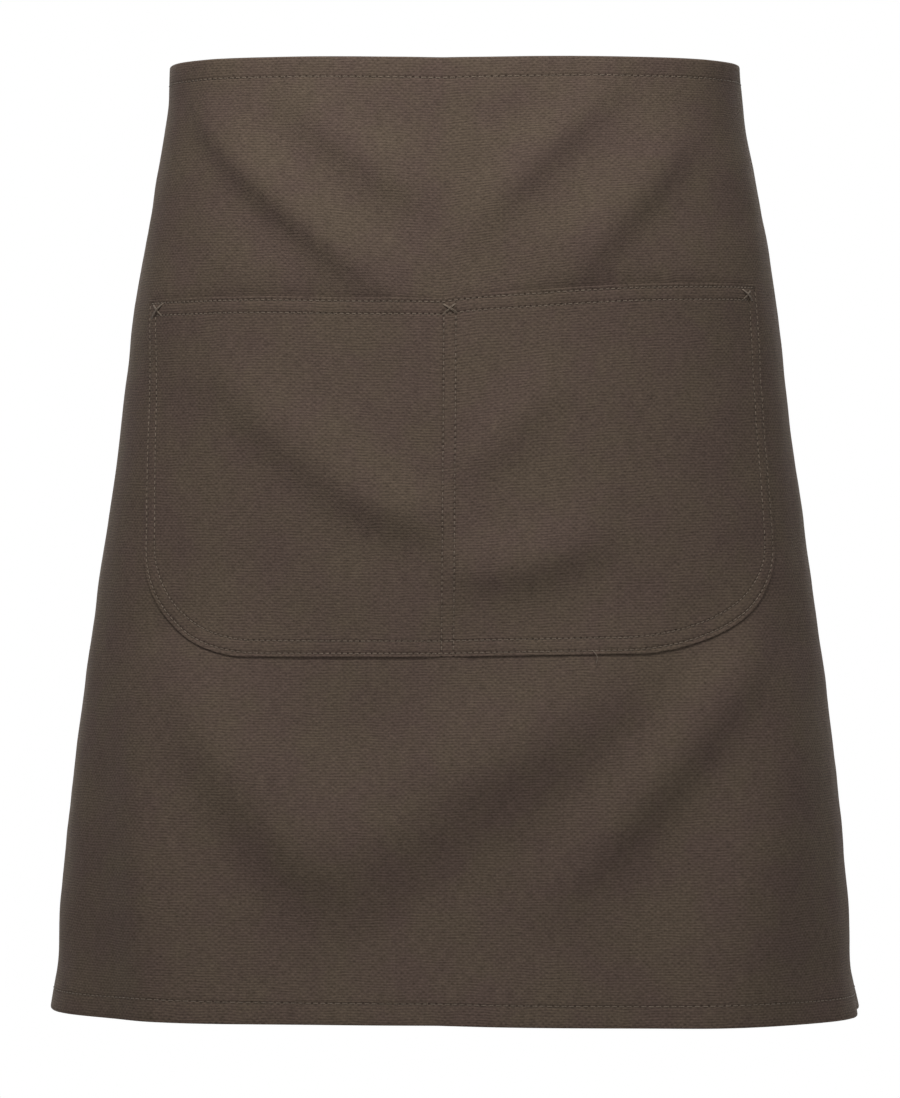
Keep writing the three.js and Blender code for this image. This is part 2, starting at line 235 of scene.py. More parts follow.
def unit(vectors):
    return vectors / np.maximum(np.linalg.norm(vectors, axis=-1, keepdims=True), 1e-9)


smooth_places = np.stack([smooth_row(down) for down in grid_down])
outward_grid = unit(np.cross(np.gradient(smooth_places, axis=0), np.gradient(smooth_places, axis=1)))


def read_grid(grid, across, down):
    """Value of a grid over the cut, on a smooth curve between its lines."""
    column = (across - grid_across[0]) / grid_step
    row = (down - grid_down[0]) / grid_step
    i = np.clip(np.floor(column).astype(int), 1, grid.shape[1] - 3)
    j = np.clip(np.floor(row).astype(int), 1, grid.shape[0] - 3)

    def shares(t):
        t2, t3 = t * t, t * t * t
        return (-t + 2 * t2 - t3) / 2, (2 - 5 * t2 + 3 * t3) / 2, (t + 4 * t2 - 3 * t3) / 2, (t3 - t2) / 2

    total = 0
    for a, row_share in enumerate(shares(row - j)):
        for b, column_share in enumerate(shares(column - i)):
            total = total + (row_share * column_share)[..., None] * grid[j + a - 1, i + b - 1]
    return total


# Relief of the cloth
def fold_at(fold, across, down):
    from_x, to_x = (share * half_cut for share in fold["across"])
    from_y, to_y = (share * cut_length for share in fold["down"])
    run_x, run_y = to_x - from_x, to_y - from_y
    run = math.hypot(run_x, run_y)
    t = ((across - from_x) * run_x + (down - from_y) * run_y) / run**2
    turned = -1 if run_x < 0 else 1
    aside = turned * ((down - from_y) * run_x - (across - from_x) * run_y) / run
    off = aside - fold["bow"] * fold_reach * 4 * t * (1 - t)
    reach = fold_reach * np.where(off < 0, fold["above"], fold["below"])
    swell = np.sin(math.pi * np.clip(t, 0, 1))
    return fold["height"] * fold_height * swell * np.exp(-((off / reach) ** 2))


def wave_at(wave, across, down):
    off = (across - wave["across"] * half_cut) / (wave["reach"] * fold_reach)
    share = np.clip(down / cut_length, 0, 1)
    return wave["height"] * wave_height * share**wave_growth * np.exp(-off * off)


# Faint unevenness that keeps the cloth from looking pressed flat: soft ripples in many directions.
ripples = table(
    "length height",
    (64, 0.32),
    (51, 0.26),
    (43, 0.2),
    (34, 0.14),
    (27, 0.1),
    (21, 0.07),
    (16, 0.045),
    (12, 0.03),
)
for ripple in ripples:
    ripple["headings"] = draws.uniform(0, math.pi, 3)
    ripple["phases"] = draws.uniform(0, 2 * math.pi, 3)


def ripple_at(across, down):
    total = 0
    for ripple in ripples:
        for heading, phase in zip(ripple["headings"], ripple["phases"]):
            run = across * math.cos(heading) + down * math.sin(heading)
            total = total + ripple["height"] / 3 * np.sin(2 * math.pi * run / ripple["length"] + phase)
    return total


def relief_at(across, down):
    total = ripple_at(across, down)
    for fold in folds:
        total = total + fold_at(fold, across, down)
    for wave in waves:
        total = total + wave_at(wave, across, down)
    return total + crease_height * np.exp(-(((across - crease_across) / crease_reach) ** 2))


def cloth_place(across, down, lift):
    across, down, lift = np.broadcast_arrays(across, down, lift)
    outward = unit(read_grid(outward_grid, across, down))
    return read_grid(smooth_places, across, down) + outward * (relief_at(across, down) + lift)[..., None]


def step_up(value, start, end):
    """Smooth step from 0 at the start to 1 at the end."""
    t = np.clip((value - start) / (end - start), 0, 1)
    return t * t * (3 - 2 * t)


def lines(*spans):
    """Grid lines: each span runs from a place to a place in steps of about a size."""
    found = [np.linspace(a, b, max(2, round(abs(b - a) / step) + 1)) for a, b, step in spans]
    return np.unique(np.round(np.concatenate(found), 4))


# Meshes
def make_piece(name, points, faces, finish, cut=None, seam=None):
    """A mesh object from points in mm, with the place on the cut and on the seam as UV maps."""
    mesh = bpy.data.meshes.new(name)
    corners = np.concatenate([part.ravel() for part in faces])
    totals = np.concatenate([np.full(len(part), part.shape[1]) for part in faces])
    mesh.vertices.add(len(points))
    mesh.vertices.foreach_set("co", (points * MM).astype(np.float32).ravel())
    mesh.loops.add(len(corners))
    mesh.loops.foreach_set("vertex_index", corners.astype(np.int32))
    mesh.polygons.add(len(totals))
    mesh.polygons.foreach_set("loop_start", (np.cumsum(totals) - totals).astype(np.int32))
    mesh.polygons.foreach_set("loop_total", totals.astype(np.int32))
    mesh.update(calc_edges=True)
    mesh.validate()
    mesh.polygons.foreach_set("use_smooth", np.ones(len(totals), dtype=bool))
    for map_name, places in (("cloth_mm", cut), ("seam_mm", seam)):
        if places is not None:
            layer = mesh.uv_layers.new(name=map_name)
            layer.data.foreach_set("uv", places[corners].astype(np.float32).ravel())
    mesh.materials.append(finish)
    made = bpy.data.objects.new(name, mesh)
    bpy.context.scene.collection.objects.link(made)
    return made


def shell(across, down, outer, inner, place, rim_turns=5):
    """Closed cloth over a grid of the cut with a rounded rim: points, faces and places on the cut."""
    high, wide = across.shape
    ids = np.arange(high * wide).reshape(high, wide)
    quads = np.stack([ids[:-1, :-1], ids[1:, :-1], ids[1:, 1:], ids[:-1, 1:]], axis=-1).reshape(-1, 4)
    ring = np.concatenate([ids[0, :-1], ids[:-1, -1], ids[-1, :0:-1], ids[:0:-1, 0]])
    flat = np.stack([across.ravel(), down.ravel()], axis=-1)
    top, under = outer.ravel(), inner.ravel()
    run = unit(np.roll(flat[ring], -1, axis=0) - np.roll(flat[ring], 1, axis=0))
    away = np.stack([run[:, 1], -run[:, 0]], axis=-1)
    middle, half = (top[ring] + under[ring]) / 2, (top[ring] - under[ring]) / 2
    cuts, lifts = [flat, flat], [top, under]
    rings = [ring]
    for k in range(1, rim_turns):
        turn = math.pi * k / rim_turns
        cuts.append(flat[ring] + away * (half * math.sin(turn))[:, None])
        lifts.append(middle + half * math.cos(turn))
        rings.append(2 * high * wide + (k - 1) * len(ring) + np.arange(len(ring)))
    rings.append(ring + high * wide)
    faces = [quads, quads[:, ::-1] + high * wide]
    for near, far in zip(rings[:-1], rings[1:]):
        faces.append(np.stack([near, np.roll(near, -1), np.roll(far, -1), far], axis=-1))
    cut, lift = np.concatenate(cuts), np.concatenate(lifts)
    return place(cut[:, 0], cut[:, 1], lift), faces, cut


# A stitch along its length: how far along it is, and how far its middle rises above the cloth.
stitch = table(
    "along rise",
    (0.0, -0.6),
    (0.16, -0.2),
    (0.34, 0.17),
    (0.66, 0.17),
    (0.84, -0.2),
    (1.0, -0.6),
)


def thread_mesh(starts, ends, lift, place, radius=thread_radius, side=1, raised=0.0, sides=5):
    """Small threads that dive into the cloth at their ends. Starts and ends are on the cut."""
    shares = np.array([step["along"] for step in stitch])
    rises = np.array([step["rise"] for step in stitch]) * radius / thread_radius
    run = ends - starts
    at = starts[:, None, :] + run[:, None, :] * shares[None, :, None]
    base = lift(at[..., 0], at[..., 1]) + raised
    middle = place(at[..., 0], at[..., 1], base + side * rises[None, :])
    outward = unit(place(at[..., 0], at[..., 1], base + side) - place(at[..., 0], at[..., 1], base))
    along_run = unit(np.gradient(middle, axis=1))
    sideways = unit(np.cross(along_run, outward))
    upright = unit(np.cross(sideways, along_run))
    angles = np.arange(sides) * 2 * math.pi / sides
    ring = (
        np.cos(angles)[None, None, :, None] * sideways[:, :, None, :]
        + np.sin(angles)[None, None, :, None] * upright[:, :, None, :]
    )
    points = (middle[:, :, None, :] + radius * ring).reshape(-1, 3)
    count, spans = len(starts), len(shares)
    ids = np.arange(count * spans * sides).reshape(count, spans, sides)
    near, far = ids[:, :-1], ids[:, 1:]
    tube = np.stack([near, np.roll(near, -1, axis=2), np.roll(far, -1, axis=2), far], axis=-1)
    caps = [ids[:, 0, ::-1].reshape(-1, sides), ids[:, -1].reshape(-1, sides)]
    cut = np.repeat(at, sides, axis=1).reshape(-1, 2)
    return points, [tube.reshape(-1, 4), *caps], cut


def gathered(parts):
    """Several point and face sets as one."""
    points, faces, cuts, first = [], [], [], 0
    for some_points, some_faces, some_cut in parts:
        points.append(some_points)
        faces.extend(face + first for face in some_faces)
        cuts.append(some_cut)
        first += len(some_points)
    return np.concatenate(points), faces, np.concatenate(cuts)


def flat_surface(lift):
    """A surface that lies at one lift all over."""

    def surface(across, down):
        return np.full(np.shape(across), lift)

    return surface


def row_threads(holes, outside, inside, place):
    """Threads between the needle holes of a row, on the outside and the inside of the cloth."""
    return [
        thread_mesh(holes[:-1], holes[1:], outside, place),
        thread_mesh(holes[:-1], holes[1:], inside, place, side=-1),
    ]


def straight_row(start, end, pitch):
    """Needle holes of a straight row, at whole pitches from nought on the cut."""
    start, end = np.array(start, dtype=float), np.array(end, dtype=float)
    moving = int(np.argmax(np.abs(end - start)))
    low, high = sorted((start[moving], end[moving]))
    holes = np.arange(math.ceil(low / pitch), math.floor(high / pitch) + 1) * pitch
    points = np.tile(start, (len(holes), 1))
    points[:, moving] = holes
    return points


def dressed(piece, slot, *nodes):
    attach(piece, "root")
    if nodes:
        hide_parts(*nodes)
    return piece


def make_threads(name, parts):
    """One piece of thread from the stitches of several rows."""
    points, faces, cut = gathered(parts)
    return dressed(make_piece(name, points, faces, sewing_thread, cut), "thread")


# Finishes
def linear(hex_colour):
    """Linear colour from sRGB hex."""
    levels = [int(hex_colour[k : k + 2], 16) / 255 for k in (1, 3, 5)]
    return tuple(v / 12.92 if v <= 0.04045 else ((v + 0.055) / 1.055) ** 2.4 for v in levels) + (1.0,)


def add_node(tree, kind, settings=None, links=None):
    """Adds a node, sets its properties and sockets, and links what feeds it."""
    made = tree.nodes.new(kind)
    for name, value in (settings or {}).items():
        if isinstance(name, int) or name in made.inputs:
            made.inputs[name].default_value = value
        else:
            setattr(made, name, value)
    for name, source in (links or {}).items():
        tree.links.new(getattr(source, "outputs", [source])[0], made.inputs[name])
    return made


def new_finish(name):
    finish = bpy.data.materials.new(name)
    finish.use_nodes = True
    finish.node_tree.nodes.clear()
    return finish, finish.node_tree


def finish_surface(tree, colour, height, bump_mm, settings):
    bump = add_node(
        tree, "ShaderNodeBump", {"Distance": bump_mm * MM, "Strength": 1.0}, {"Height": height}
    )
    surface = add_node(
        tree, "ShaderNodeBsdfPrincipled", settings, {"Base Color": colour, "Normal": bump}
    )
    add_node(tree, "ShaderNodeOutputMaterial", None, {"Surface": surface})


def math_node(operation, *values):
    """Settings and links of one sum: numbers are set, anything else is linked."""
    settings, links = {"operation": operation}, {}
    for k, value in enumerate(values):
        if isinstance(value, (int, float)):
            settings[k] = value
        else:
            links[k] = value
    return "ShaderNodeMath", settings, links


# A needle hole is painted dark, as the shade inside it, out to the first distance from its centre, and
# fades to the second.
hole_inner, hole_outer = 0.35, 0.85


def hole_mask(tree, run, off, pitch):
    """1 at the needle holes of a row: run is the length along it and off the distance from it."""
    nearest = add_node(tree, *math_node("PINGPONG", run, pitch / 2))
    run_square = add_node(tree, *math_node("POWER", nearest, 2))
    off_square = add_node(tree, *math_node("POWER", off, 2))
    both = add_node(tree, *math_node("ADD", run_square, off_square))
    reach = add_node(tree, *math_node("SQRT", both))
    return groove_mask(tree, reach, hole_outer, hole_inner)


def groove_mask(tree, off, end, start=0.0):
    """1 up to the start of a distance, and falling smoothly to 0 at its end."""
    return add_node(
        tree,
        "ShaderNodeMapRange",
        {"interpolation_type": "SMOOTHSTEP", "From Min": start, "From Max": end, "To Min": 1, "To Max": 0},
        {"Value": off},
    )


def off_row(tree, value, row):
    """Distance of a place from a row."""
    away = add_node(tree, *math_node("SUBTRACT", value, row))
    return add_node(tree, *math_node("ABSOLUTE", away))


# Heavy plain-weave canvas of polyester and cotton, dyed dark taupe: matt, with thick weft ribs broken up
# by the warp, slubs in the yarn and a faint bloom of fibres at grazing angles. Real ribs are 0.55 mm
# apart; they are drawn 1.4 mm apart so that they show.
rib_pitch, warp_pitch = 1.4, 1.55
# The weave's tone is painted lighter on the ribs and darker in the gaps between them and between the
# crossings of the warp: painted shade of the weave's relief, which the bump gives as well.
weave_painted_shade, weave_height, cloth_bump = 0.27, 0.16, 0.22
weft_slub_shade, warp_slub_shade, grain_shade = 0.65, 0.25, 0.55
# Painted shade: the needle holes are darkened as the shade inside them.
hole_painted_shade, hole_depth = 0.22, 1.1
# Painted shadow: a band along each row is darkened as the shadow where the thread pulls the cloth in.
groove_painted_shade, groove_depth = 0.03, 0.4
row_groove, pocket_groove, tie_groove, tack_hole = 1.3, 1.2, 1.1, 1.3
canvas_olive, canvas_plum, fibre_bloom = "#62564b", "#60524b", "#b7a898"

# Noises of the cloth, in repeats a millimetre: the yarns sway over 20 mm, the patches of weave are 7 mm
# across, the blotches of dye 33 mm and the grain 1.1 mm. Slubs are 5 mm long in the weft, 10 in the warp.
sway_scale, sway_reach = 0.05, 2.0
patch_scale, blotch_scale, grain_scale = 0.14, 0.03, 0.9
weft_slub_scale, warp_slub_scale = (0.2, 1.1, 0), (0.8, 0.1, 0)


def canvas_finish(name, sewn):
    """The canvas with its sewing: sewn gives the masks of the needle holes and of the grooves."""
    finish, tree = new_finish(name)
    cut = add_node(tree, "ShaderNodeUVMap", {"uv_map": "cloth_mm"})
    sway = add_node(
        tree, "ShaderNodeTexNoise", {"noise_dimensions": "2D", "Scale": sway_scale, "Detail": 2.0},
        {"Vector": cut},
    )
    swayed = add_node(
        tree, "ShaderNodeVectorMath", {"operation": "MULTIPLY_ADD", 1: (sway_reach, sway_reach, 0)},
        {0: sway.outputs["Color"], 2: cut},
    )
    split = add_node(tree, "ShaderNodeSeparateXYZ", None, {"Vector": swayed})
    across, down = split.outputs["X"], split.outputs["Y"]
    rib_turn = add_node(tree, *math_node("MULTIPLY", down, 2 * math.pi / rib_pitch))
    rib = add_node(tree, *math_node("SINE", rib_turn))
    half_turn = add_node(tree, *math_node("MULTIPLY", down, math.pi / rib_pitch))
    brick_down = add_node(tree, *math_node("SINE", half_turn))
    warp_turn = add_node(tree, *math_node("MULTIPLY", across, math.pi / warp_pitch))
    brick_across = add_node(tree, *math_node("SINE", warp_turn))
    brick = add_node(tree, *math_node("MULTIPLY", brick_down, brick_across))
    patch = add_node(
        tree, "ShaderNodeTexNoise", {"noise_dimensions": "2D", "Scale": patch_scale, "Detail": 1.0},
        {"Vector": cut},
    )
    weave = add_node(
        tree, "ShaderNodeMix", {"data_type": "FLOAT"}, {0: patch.outputs[0], 2: rib, 3: brick}
    )
    weft_squeeze = add_node(
        tree, "ShaderNodeVectorMath", {"operation": "MULTIPLY", 1: weft_slub_scale}, {0: cut}
    )
    weft_slub = add_node(
        tree, "ShaderNodeTexNoise", {"noise_dimensions": "2D", "Scale": 1.0, "Detail": 2.0},
        {"Vector": weft_squeeze},
    )
    warp_squeeze = add_node(
        tree, "ShaderNodeVectorMath", {"operation": "MULTIPLY", 1: warp_slub_scale}, {0: cut}
    )
    warp_slub = add_node(
        tree, "ShaderNodeTexNoise", {"noise_dimensions": "2D", "Scale": 1.0, "Detail": 1.0},
        {"Vector": warp_squeeze},
    )
    grain = add_node(
        tree, "ShaderNodeTexNoise",
        {"noise_dimensions": "2D", "Scale": grain_scale, "Detail": 3.0, "Roughness": 0.7},
        {"Vector": cut},
    )
    blotch = add_node(
        tree, "ShaderNodeTexNoise",
        {"noise_dimensions": "2D", "Scale": blotch_scale, "Detail": 4.0, "Roughness": 0.6},
        {"Vector": cut},
    )
    tone_share = add_node(
        tree, "ShaderNodeMapRange", {"From Min": 0.35, "From Max": 0.65}, {"Value": blotch}
    )
    tone = add_node(
        tree, "ShaderNodeMix", {"data_type": "RGBA", 6: linear(canvas_olive), 7: linear(canvas_plum)},
        {0: tone_share},
    )
    # Painted shade of the weave: lighter on the ribs, darker in the gaps between them.
    level = add_node(tree, *math_node("MULTIPLY_ADD", weave, weave_painted_shade, 1.0))
    yarn = ((weft_slub, weft_slub_shade), (warp_slub, warp_slub_shade), (grain, grain_shade))
    for source, amount in yarn:
        centred = add_node(tree, *math_node("SUBTRACT", source.outputs[0], 0.5))
        level = add_node(tree, *math_node("MULTIPLY_ADD", centred, amount, level))
    height = add_node(tree, *math_node("MULTIPLY_ADD", weave, weave_height, grain.outputs[0]))
    holes, grooves = sewn(tree, cut)
    # Needle holes are painted darker as the shade inside them, and the bands along the rows as painted
    # shadow where the thread pulls the cloth in. The flecks, which share the hole mask on the panel, are
    # dark specks of the yarn. Both masks also sink the bump.
    marks = ((holes, hole_painted_shade, hole_depth), (grooves, groove_painted_shade, groove_depth))
    for mask, shade, depth in marks:
        level = add_node(tree, *math_node("MULTIPLY_ADD", mask, -shade, level))
        height = add_node(tree, *math_node("MULTIPLY_ADD", mask, -depth, height))
    grey = add_node(tree, "ShaderNodeCombineXYZ", None, {0: level, 1: level, 2: level})
    colour = add_node(
        tree, "ShaderNodeMix", {"data_type": "RGBA", "blend_type": "MULTIPLY", 0: 1.0},
        {6: tone.outputs[2], 7: grey},
    )
    settings = {
        "Roughness": 0.92,
        "Specular IOR Level": 0.18,
        "Sheen Weight": 0.2,
        "Sheen Roughness": 0.2,
        "Sheen Tint": linear(fibre_bloom),
    }
    finish_surface(tree, colour.outputs[2], height, cloth_bump, settings)
    return finish


def most(tree, masks):
    """The largest of several masks."""
    found = masks[0]
    for mask in masks[1:]:
        found = add_node(tree, *math_node("MAXIMUM", found, mask))
    return found


def panel_sewing(tree, cut):
    """Needle holes of the hems' rows, and the dark flecks."""
    split = add_node(tree, "ShaderNodeSeparateXYZ", None, {"Vector": cut})
    across, down = split.outputs["X"], split.outputs["Y"]
    side = add_node(tree, *math_node("ABSOLUTE", across))
    rows = (
        (across, off_row(tree, down, panel_row)),
        (across, off_row(tree, down, cut_length - panel_row)),
        (down, off_row(tree, side, half_cut - panel_row)),
    )
    holes = [hole_mask(tree, run, off, panel_pitch) for run, off in rows]
    for fleck in flecks:
        spot = (fleck["across"], fleck["down"], 0)
        away = add_node(tree, "ShaderNodeVectorMath", {"operation": "DISTANCE", 1: spot}, {0: cut})
        holes.append(groove_mask(tree, away.outputs["Value"], fleck["size"]))
    return most(tree, holes), most(tree, [groove_mask(tree, off, row_groove) for _, off in rows])


def pocket_sewing(tree, cut):
    """Needle holes of the rows round the pocket and down its middle."""
    split = add_node(tree, "ShaderNodeSeparateXYZ", None, {"Vector": cut})
    middle = add_node(tree, *math_node("SUBTRACT", split.outputs["X"], pocket_offset))
    aside = add_node(tree, *math_node("ABSOLUTE", middle))
    seam = add_node(tree, "ShaderNodeUVMap", {"uv_map": "seam_mm"})
    on_seam = add_node(tree, "ShaderNodeSeparateXYZ", None, {"Vector": seam})
    rows = [(on_seam.outputs["X"], off_row(tree, on_seam.outputs["Y"], row)) for row in pocket_rows]
    rows.append((split.outputs["Y"], off_row(tree, aside, centre_rows)))
    holes = [hole_mask(tree, run, off, pocket_pitch) for run, off in rows]
    # Dark spots at the ends of each tack's arms: painted shade in the holes where its thread goes in.
    for tack in tacks:
        middle_place = (tack["across"], tack_middle, 0)
        from_tack = add_node(
            tree, "ShaderNodeVectorMath", {"operation": "SUBTRACT", 1: middle_place}, {0: cut}
        )
        quarter = add_node(tree, "ShaderNodeVectorMath", {"operation": "ABSOLUTE"}, {0: from_tack})
        away = add_node(
            tree, "ShaderNodeVectorMath",
            {"operation": "DISTANCE", 1: (tack["reach"], tack["depth"], 0)}, {0: quarter},
        )
        holes.append(groove_mask(tree, away.outputs["Value"], tack_hole))
    return most(tree, holes), most(tree, [groove_mask(tree, off, pocket_groove) for _, off in rows])


def tie_sewing(tree, cut):
    """Needle holes of the two rows along a tie."""
    split = add_node(tree, "ShaderNodeSeparateXYZ", None, {"Vector": cut})
    side = add_node(tree, *math_node("ABSOLUTE", split.outputs["Y"]))
    off = off_row(tree, side, tie_width / 2 - tie_row)
    return hole_mask(tree, split.outputs["X"], off, tie_pitch), groove_mask(tree, off, tie_groove)


# Spun polyester sewing thread, a tone lighter than the cloth: dull, with a fuzz 0.9 mm long that stands for
# the twist of its plies, and a tone that drifts over 17 mm.
thread_dark, thread_light = "#6a5f54", "#8b7e71"
fuzz_scale, drift_scale, thread_bump = 1.1, 0.06, 0.08


def thread_finish():
    finish, tree = new_finish("spun_polyester_thread")
    cut = add_node(tree, "ShaderNodeUVMap", {"uv_map": "cloth_mm"})
    fuzz = add_node(
        tree, "ShaderNodeTexNoise", {"noise_dimensions": "2D", "Scale": fuzz_scale, "Detail": 3.0},
        {"Vector": cut},
    )
    drift = add_node(
        tree, "ShaderNodeTexNoise", {"noise_dimensions": "2D", "Scale": drift_scale, "Detail": 2.0},
        {"Vector": cut},
    )
    share = add_node(tree, *math_node("MULTIPLY_ADD", drift.outputs[0], 0.6, fuzz.outputs[0]))
    spread = add_node(tree, "ShaderNodeMapRange", {"From Min": 0.55, "From Max": 1.05}, {"Value": share})
    colour = add_node(
        tree, "ShaderNodeMix", {"data_type": "RGBA", 6: linear(thread_dark), 7: linear(thread_light)},
        {0: spread},
    )
    settings = {"Roughness": 0.75, "Specular IOR Level": 0.3, "Sheen Weight": 0.2, "Sheen Roughness": 0.4}
    finish_surface(tree, colour.outputs[2], fuzz.outputs[0], thread_bump, settings)
    return finish


# Matt painted board under the object, in a pale warm white with the slight unevenness of a roller coat,
# which repeats 60 times a metre.
board_dark, board_light = "#e9e7e4", "#efedea"
roller_scale, roller_bump = 60.0, 0.3


def floor_finish():
    finish, tree = new_finish("matt_painted_board")
    place = add_node(tree, "ShaderNodeTexCoord")
    grain = add_node(
        tree, "ShaderNodeTexNoise", {"Scale": roller_scale, "Detail": 3.0},
        {"Vector": place.outputs["Object"]},
    )
    colour = add_node(
        tree, "ShaderNodeMix", {"data_type": "RGBA", 6: linear(board_dark), 7: linear(board_light)},
        {0: grain.outputs[0]},
    )
    finish_surface(tree, colour.outputs[2], grain.outputs[0], roller_bump, {"Roughness": 0.85})
    return finish


panel_canvas = canvas_finish("polyester_cotton_canvas", panel_sewing)
pocket_canvas = canvas_finish("polyester_cotton_canvas_pocket", pocket_sewing)
tie_canvas = canvas_finish("polyester_cotton_canvas_tie", tie_sewing)
sewing_thread = thread_finish()


# The panel with its turned hems: the depth of the groove under a row, the thickness that a turned edge
# adds, the short step where it ends, and the size of the mesh's faces.
row_depth, turned_layers, turned_step = 0.22, 1.5, 0.8
hem_mesh, fine_mesh, coarse_mesh, crease_mesh = 2.6, 0.75, 3.1, 1.0


def groove(off, depth, reach=0.8):
    return depth * np.exp(-((off / reach) ** 2))


def edge_distance(across, down):
    return np.minimum(np.minimum(down, cut_length - down), half_cut - np.abs(across))


def panel_outer(across, down):
    offs = (down - panel_row, cut_length - panel_row - down, half_cut - panel_row - np.abs(across))
    return canvas_wall - sum(groove(off, row_depth) for off in offs)


def panel_inner(across, down):
    turned = 1 - step_up(edge_distance(across, down), hem_depth, hem_depth + turned_step)
    return canvas_wall - cloth_thickness - turned_layers * turned


def make_panel():
    rim = 1.1
    near_row, past_hem = panel_row - 1.6, hem_depth + turned_step
    downs = lines(
        (rim, near_row, hem_mesh),
        (near_row, past_hem, fine_mesh),
        (past_hem, cut_length - past_hem, coarse_mesh),
        (cut_length - past_hem, cut_length - near_row, fine_mesh),
        (cut_length - near_row, cut_length - rim, hem_mesh),
    )
    side = half_cut - past_hem
    crease_left, crease_right = crease_across - 3, crease_across + 3
    acrosses = lines(
        (-half_cut + rim, -half_cut + near_row, hem_mesh),
        (-half_cut + near_row, -side, fine_mesh),
        (-side, crease_left, coarse_mesh),
        (crease_left, crease_right, crease_mesh),
        (crease_right, side, coarse_mesh),
        (side, half_cut - near_row, fine_mesh),
        (half_cut - near_row, half_cut - rim, hem_mesh),
    )
    across, down = np.meshgrid(acrosses, downs)
    outer, inner = panel_outer(across, down), panel_inner(across, down)
    points, faces, cut = shell(across, down, outer, inner, cloth_place)
    piece = make_piece("canvas_panel", points, faces, panel_canvas, cut)
    hems = ["waist_hem", "bottom_hem", "side_hem_left", "side_hem_right"]
    return dressed(piece, "canvas", "body_panel", *hems)


def make_panel_stitching():
    end = half_cut - 1.5
    foot = cut_length - panel_row
    rows = [straight_row((-end, at), (end, at), panel_pitch) for at in (panel_row, foot)]
    side = half_cut - panel_row
    rows += [straight_row((at, panel_row), (at, foot), panel_pitch) for at in (-side, side)]
    parts = []
    for row in rows:
        parts += row_threads(row, panel_outer, panel_inner, cloth_place)
    return make_threads("hem_stitching", parts)


# The pocket: how far it lies off the panel and over its hem, its layers, the grooves under its rows, how
# the seam down its middle pulls it in, where that seam starts inside the edge, where the turned edge ends
# past its row, and the least gap to the panel.
pocket_lift, pocket_hem_lift = 0.7, 0.4
single_layer, turned_layer, turned_rise = 0.45, 0.3, 0.2
edge_row_depth, centre_row_depth = 0.34, 0.3
seam_pull, seam_pull_reach, seam_pull_start = 0.5, 9, 12
centre_start, turned_end = 9, (0.9, 2.1)
least_gap = 0.12


def pocket_half_at(down, side):
    """Half width on one side of the middle. Both sides lean to the right on their way down."""
    fallen = np.clip((down - corner_top) / pocket_corner_height, 0, 1)
    leaning = pocket_half + side * pocket_lean * (down - pocket_drop) / pocket_height
    corner_width = np.where(side < 0, pocket_corner_left, pocket_corner_right)
    return leaning - corner_width * (1 - np.sqrt(1 - fallen**2))


def pocket_outline(step=0.25):
    """The pocket's edge on the cut, from its left top corner down and round to the right, by length."""
    down = np.concatenate(
        [
            np.arange(pocket_drop, corner_top, step),
            corner_top + pocket_corner_height * np.sin(np.radians(np.arange(0, 90.01, 0.2))),
        ]
    )
    left = np.stack([pocket_offset - pocket_half_at(down, -1), down], axis=-1)
    right = np.stack([pocket_offset + pocket_half_at(down, 1), down], axis=-1)[::-1]
    base = np.arange(left[-1, 0] + step, right[0, 0], step)
    floor = np.stack([base, np.full(len(base), pocket_foot)], axis=-1)
    points = np.concatenate([left, floor, right])
    length = np.concatenate([[0], np.cumsum(np.linalg.norm(np.diff(points, axis=0), axis=1))])
    run = unit(np.gradient(points, axis=0))
    return points, length, np.stack([run[:, 1], -run[:, 0]], axis=-1)


outline_points, outline_length, outline_inwards = pocket_outline()


def seam_places(across, down):
    """Length along the pocket's edge and distance inside it, for places on the cut."""
    flat = np.stack([np.ravel(across), np.ravel(down)], axis=-1)
    found = np.empty((len(flat), 2))
    for first in range(0, len(flat), 4000):
        some = flat[first : first + 4000]
        gaps = np.linalg.norm(some[:, None, :] - outline_points[None, ::2, :], axis=2)
        nearest = np.argmin(gaps, axis=1)
        found[first : first + 4000, 0] = outline_length[::2][nearest]
        found[first : first + 4000, 1] = gaps[np.arange(len(some)), nearest]
    from_top = flat[:, 1] - pocket_drop
    by_top = from_top < found[:, 1]
    found[by_top, 0] = flat[by_top, 0]
    found[by_top, 1] = from_top[by_top]
    return found


def pocket_slack_at(across, down):
    half = pocket_half_at(down, np.sign(across - pocket_offset))
    share = np.clip(np.abs(across - pocket_offset) / half, 0, 1)
    above_foot = np.clip(pocket_foot - down, 0, None) / pocket_height
    return pocket_slack * np.sin(math.pi * share) ** 2 * above_foot**slack_fade


def pocket_lifts(across, down, inside):
    """Outside and inside lift of the pocket, with its turned edge and the grooves of its rows."""
    under_hem = np.clip(2 - (down - pocket_drop) / pocket_hem_depth, 0, 1)
    turned = 1 - step_up(inside, pocket_rows[1] + turned_end[0], pocket_rows[1] + turned_end[1])
    base = canvas_wall + pocket_lift + pocket_slack_at(across, down) + pocket_hem_lift * under_hem
    depth = sum(groove(inside - row, edge_row_depth) for row in pocket_rows)
    centre = np.abs(across - pocket_offset)
    started = step_up(inside, centre_start - 2, centre_start)
    depth = depth + groove(centre - centre_rows, centre_row_depth) * started
    below_mouth = step_up(down - pocket_drop, 0, seam_pull_start)
    pulled = seam_pull * np.exp(-((centre / seam_pull_reach) ** 2)) * below_mouth
    outer = base + turned_rise * turned - pulled
    thickness = single_layer + turned_layer * turned
    return outer - depth, np.maximum(outer - thickness, canvas_wall + least_gap)


def mouth_place(across, down, lift):
    """Place on the cloth, with the pocket's mouth lowered at its ends and pulled up at its middle."""
    aside = across - pocket_offset
    pull = mouth_pull * np.exp(-((aside / mouth_pull_reach) ** 2))
    fall = mouth_fall * np.abs(aside / pocket_half) - pull
    return cloth_place(across, down + fall * (1 - step_up(down - pocket_drop, *mouth_rows)), lift)


